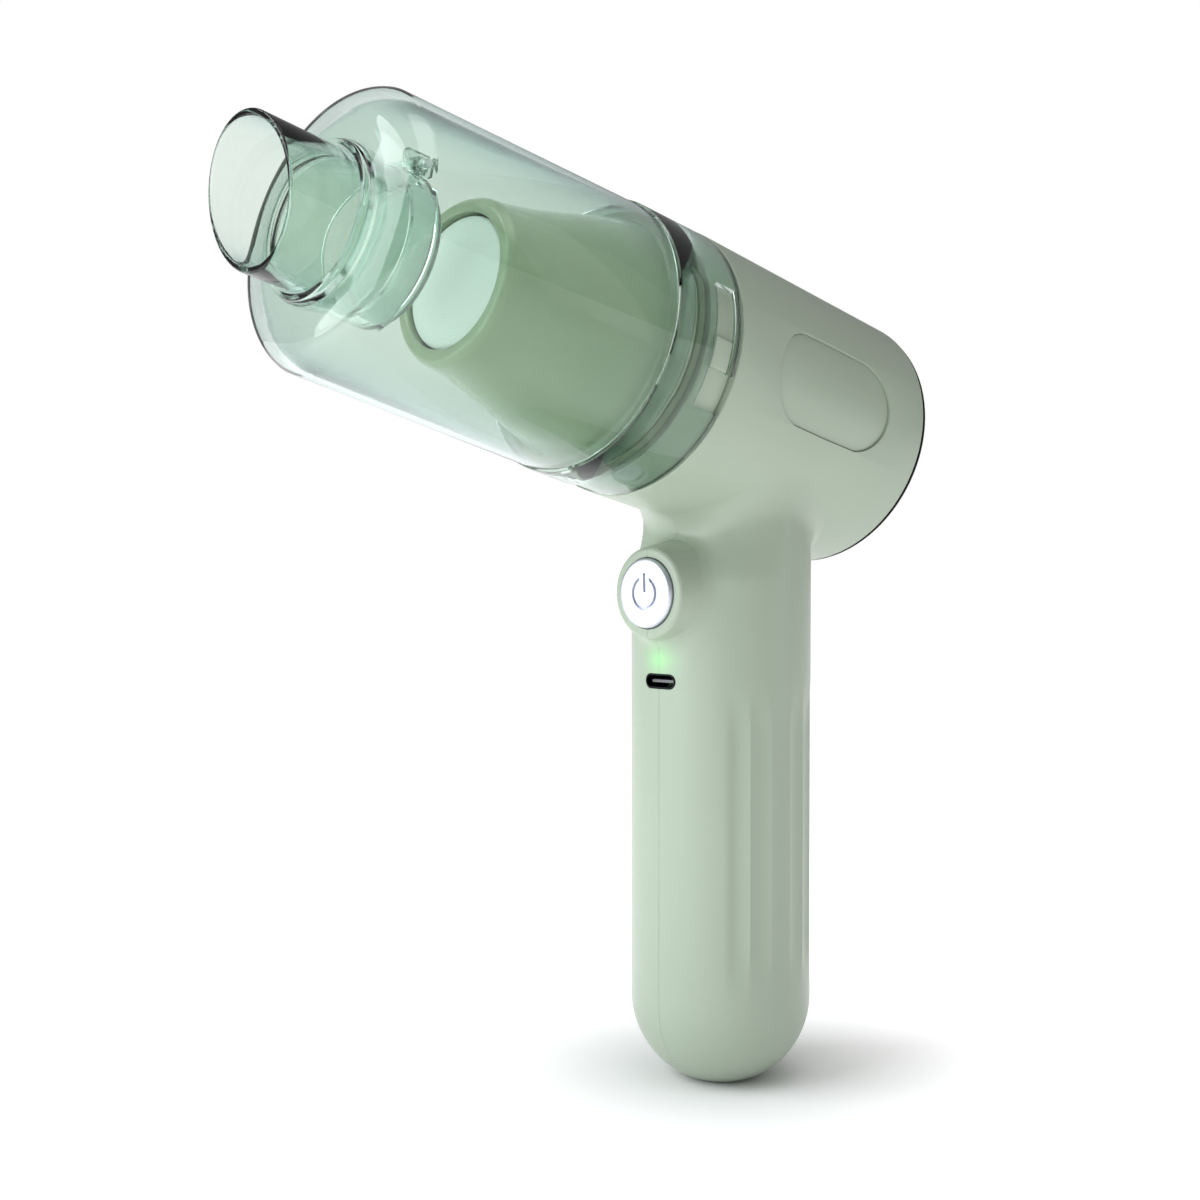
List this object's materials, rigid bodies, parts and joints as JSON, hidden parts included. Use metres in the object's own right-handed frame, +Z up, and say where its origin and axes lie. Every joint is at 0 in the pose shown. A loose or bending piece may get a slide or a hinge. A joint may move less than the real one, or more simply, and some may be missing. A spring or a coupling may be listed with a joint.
{
  "type": "cordless hand vacuum",
  "caption": "Cordless pistol-grip hand vacuum with a clear tinted dust cup held by a bayonet, a push-in nozzle and a fluted handle with a power button.",
  "frame": {"origin": "centre of the foot's flat underside, on the handle's axis", "axes": "+Z up along the handle, nozzle towards -X, +Y is the right-hand side as the tool is held"},
  "size_m": [0.1726, 0.0616, 0.21],
  "materials": {
    "sage_shell": "satin",
    "clear_cup": "clear, tinted, polished",
    "filter_green": "gloss",
    "pearl_white": "pearl",
    "felt_white": "felt",
    "clear_silicone": "soft, translucent",
    "black_rubber": "matte",
    "seal_green": "matte",
    "steel": "brushed",
    "winding": "lacquered",
    "magnet_grey": "matte",
    "black_plastic": "satin",
    "board_green": "solder mask",
    "cell_wrap": "shrink wrap",
    "led_green": "lit",
    "red_wire": "pvc",
    "black_wire": "pvc"
  },
  "bodies": {
    "housing": {"battery_cell_front": "cell_wrap", "battery_cell_rear": "cell_wrap", "battery_lead_black": "black_wire", "battery_lead_red": "red_wire", "battery_pad": "felt_white", "bayonet_collar": "sage_shell", "control_board": "board_green", "cup_seal": "seal_green", "fan_shroud": "black_plastic", "filter_grid": "filter_green", "filter_housing": "filter_green", "foot_pad": "black_rubber", "front_bearing": "steel", "left_shell": "sage_shell", "left_side_pad": "sage_shell", "motor_can": "steel", "motor_end_cap": "black_plastic", "motor_lead_black": "black_wire", "motor_lead_red": "red_wire", "motor_magnets": "magnet_grey", "motor_mount": "black_rubber", "pleated_filter": "felt_white", "power_switch": "black_plastic", "prefilter_disc": "felt_white", "rear_bearing": "steel", "rear_cap": "sage_shell", "right_shell": "sage_shell", "right_side_pad": "sage_shell", "shell_screw_1": "steel", "shell_screw_2": "steel", "shell_screw_3": "steel", "status_led": "led_green", "usb_port": "steel"},
    "cup": {"dust_cup": "clear_cup", "bayonet_ring": "clear_cup", "flap_pin": "steel"},
    "nozzle": {"nozzle": "clear_cup"},
    "flap": {"intake_flap": "clear_silicone"},
    "rotor": {"motor_shaft": "steel", "rotor_core": "winding", "fan_impeller": "black_plastic"},
    "button": {"power_button": "pearl_white", "switch_plunger": "black_plastic"}
  },
  "joints": [
    {"name": "cup_twist", "type": "hinge", "parent": "housing", "child": "cup", "pos_m": [-0.0282, 0, 0.1654], "axis": [-0.9774, 0, 0.2113], "range_deg": [-20, 15]},
    {"name": "nozzle_pull", "type": "slide", "parent": "cup", "child": "nozzle", "axis": [-0.9774, 0, 0.2113], "range_m": [0, 0.011]},
    {"name": "flap_swing", "type": "hinge", "parent": "cup", "child": "flap", "pos_m": [-0.09193, 0, 0.19667], "axis": [0, 1, 0], "range_deg": [-20, 0], "stiffness_Nm_per_rad": 0.001, "springref_deg": 11.46},
    {"name": "rotor_spin", "type": "hinge", "parent": "housing", "child": "rotor", "pos_m": [0.00112, 0, 0.15906], "axis": [-0.9774, 0, 0.2113], "continuous": true},
    {"name": "button_press", "type": "slide", "parent": "housing", "child": "button", "axis": [1, 0, 0], "range_m": [0, 0.0008], "stiffness_N_per_m": 2500, "springref_m": -0.0002}
  ]
}
